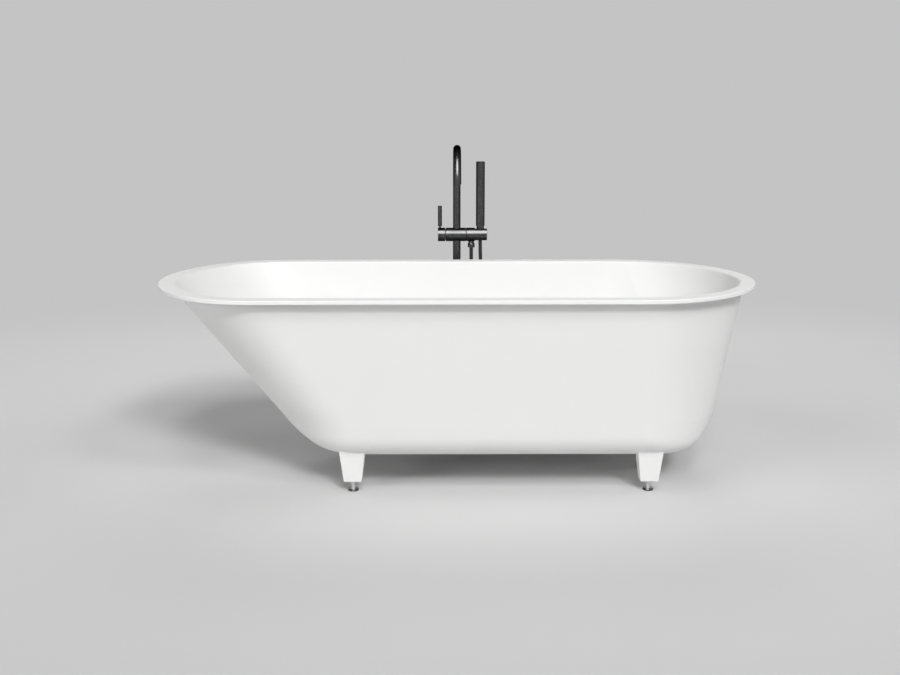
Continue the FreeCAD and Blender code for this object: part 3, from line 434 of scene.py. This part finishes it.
def floor_paint():
    """Paint that keeps the bath's shadow, carries a painted falloff of light from the front to the rear, and
    gives way to an even grey further out.
    """
    material = bpy.data.materials.new("studio_floor_paint")
    shader = shader_of(material)
    shader.inputs["Roughness"].default_value = floor_roughness
    shader.inputs["Specular IOR Level"].default_value = floor_gloss
    tree = material.node_tree
    place = tree.nodes.new("ShaderNodeTexCoord")
    axes = tree.nodes.new("ShaderNodeSeparateXYZ")
    # Painted light: darker towards the front and lighter towards the rear, standing in for the light's
    # falloff over the floor
    paint = tree.nodes.new("ShaderNodeMapRange")
    paint.inputs["From Min"].default_value = -floor_painted_falloff_end
    paint.inputs["From Max"].default_value = floor_painted_falloff_end
    paint.inputs["To Min"].default_value = floor_grey * (1 - floor_painted_falloff * floor_painted_falloff_end)
    paint.inputs["To Max"].default_value = floor_grey * (1 + floor_painted_falloff * floor_painted_falloff_end)
    tree.links.new(place.outputs["Object"], axes.inputs["Vector"])
    tree.links.new(axes.outputs["Y"], paint.inputs["Value"])
    tree.links.new(paint.outputs["Result"], shader.inputs["Base Color"])
    distance = tree.nodes.new("ShaderNodeVectorMath")
    distance.operation = "LENGTH"
    fade = tree.nodes.new("ShaderNodeMapRange")
    fade.interpolation_type = "SMOOTHSTEP"
    fade.inputs["From Min"].default_value = fade_start
    fade.inputs["From Max"].default_value = fade_end
    glow = tree.nodes.new("ShaderNodeEmission")
    glow.inputs["Color"].default_value = (*far_grey, 1)
    share = tree.nodes.new("ShaderNodeMath")
    share.operation = "MULTIPLY"
    blend = tree.nodes.new("ShaderNodeMixShader")
    tree.links.new(place.outputs["Object"], distance.inputs[0])
    tree.links.new(distance.outputs["Value"], fade.inputs["Value"])
    tree.links.new(fade.outputs["Result"], share.inputs[0])
    tree.links.new(seen_directly(tree), share.inputs[1])
    tree.links.new(share.outputs["Value"], blend.inputs["Fac"])
    tree.links.new(shader.outputs["BSDF"], blend.inputs[1])
    tree.links.new(glow.outputs["Emission"], blend.inputs[2])
    tree.links.new(blend.outputs["Shader"], tree.nodes["Material Output"].inputs["Surface"])
    return material


def make_floor():
    mesh = bpy.data.meshes.new("studio_floor")
    shape = bmesh.new()
    bmesh.ops.create_circle(shape, cap_ends=True, segments=floor_segments, radius=floor_radius)
    shape.to_mesh(mesh)
    shape.free()
    mesh.materials.append(floor_paint())
    floor = bpy.data.objects.new("studio_floor", mesh)
    scene.collection.objects.link(floor)


def backdrop_light(tree):
    """The backdrop's strength, which falls off towards the ceiling."""
    place = tree.nodes.new("ShaderNodeTexCoord")
    axes = tree.nodes.new("ShaderNodeSeparateXYZ")
    fall = tree.nodes.new("ShaderNodeMapRange")
    fall.inputs["From Min"].default_value = backdrop_edge
    fall.inputs["From Max"].default_value = ceiling_edge
    fall.inputs["To Min"].default_value = 1
    fall.inputs["To Max"].default_value = ceiling_share
    tree.links.new(place.outputs["Generated"], axes.inputs["Vector"])
    tree.links.new(axes.outputs["Z"], fall.inputs["Value"])
    return fall.outputs["Result"]


def make_world():
    """A backdrop that is seen and mirrored, but lights nothing."""
    world = bpy.data.worlds.new("studio")
    scene.world = world
    world.use_nodes = True
    tree = world.node_tree
    light = tree.nodes["Background"]
    light.inputs["Strength"].default_value = 0
    backdrop = tree.nodes.new("ShaderNodeBackground")
    backdrop.inputs["Color"].default_value = (*far_grey, 1)
    tree.links.new(backdrop_light(tree), backdrop.inputs["Strength"])
    mix = tree.nodes.new("ShaderNodeMixShader")
    tree.links.new(seen_directly(tree), mix.inputs["Fac"])
    tree.links.new(light.outputs["Background"], mix.inputs[1])
    tree.links.new(backdrop.outputs["Background"], mix.inputs[2])
    tree.links.new(mix.outputs["Shader"], tree.nodes["World Output"].inputs["Surface"])


def soft_box(name, place, aim, width, height, power):
    light = bpy.data.lights.new(name, "AREA")
    light.shape = "RECTANGLE"
    light.size = width
    light.size_y = height
    light.energy = power
    lamp = bpy.data.objects.new(name, light)
    scene.collection.objects.link(lamp)
    lamp.location = place
    lamp.rotation_mode = "QUATERNION"
    lamp.rotation_quaternion = (Vector(aim) - Vector(place)).to_track_quat("-Z", "Y")
    return lamp


lamp_distance = 15.0
lamp_aim = Vector((0, 0, 0.3))
lamps = {       # degrees to the right of the bath's front, degrees above the floor, width, height, watts
    "key": (19.1, 36.0, 2.6, 2.6, 840),
    "key_low": (5.0, 40.9, 2.6, 2.6, 400),
    "key_high": (7.6, 52.9, 2.6, 2.6, 290),
    "key_right": (40.9, 45.2, 2.6, 2.6, 285),
    "key_far_right": (51.3, 38.0, 2.6, 2.6, 70),
    "left_low": (-50.0, 15.0, 5.0, 3.0, 480),
    "left_high": (-60.0, 40.0, 5.0, 5.0, 245),
    "right": (95.0, 25.0, 5.0, 4.0, 200),
    "rear": (180.0, 45.0, 8.0, 4.0, 350),
    "overhead": (0.0, 88.0, 6.0, 6.0, 195),
}
panel_place = (0, -2.35, 3.75)
panel_aim = (0, 0.4, 0.65)
panel_width = 3.0
panel_height = 3.6
panel_power = 262


def hang_lamps():
    """The lamps that light the bath, on a wide dome and kept out of its mirrored surfaces."""
    for name, (turn, rise, width, height, power) in lamps.items():
        turn = math.radians(turn)
        rise = math.radians(rise)
        away = Vector((math.sin(turn) * math.cos(rise), -math.cos(turn) * math.cos(rise), math.sin(rise)))
        lamp = soft_box(name, lamp_aim + away * lamp_distance, lamp_aim, width, height, power)
        lamp.visible_glossy = False


def hang_panel():
    """A panel that shows only as a reflection."""
    panel = soft_box("mirrored_panel", panel_place, panel_aim, panel_width, panel_height, panel_power)
    panel.visible_diffuse = False


make_floor()
make_world()
hang_lamps()
hang_panel()
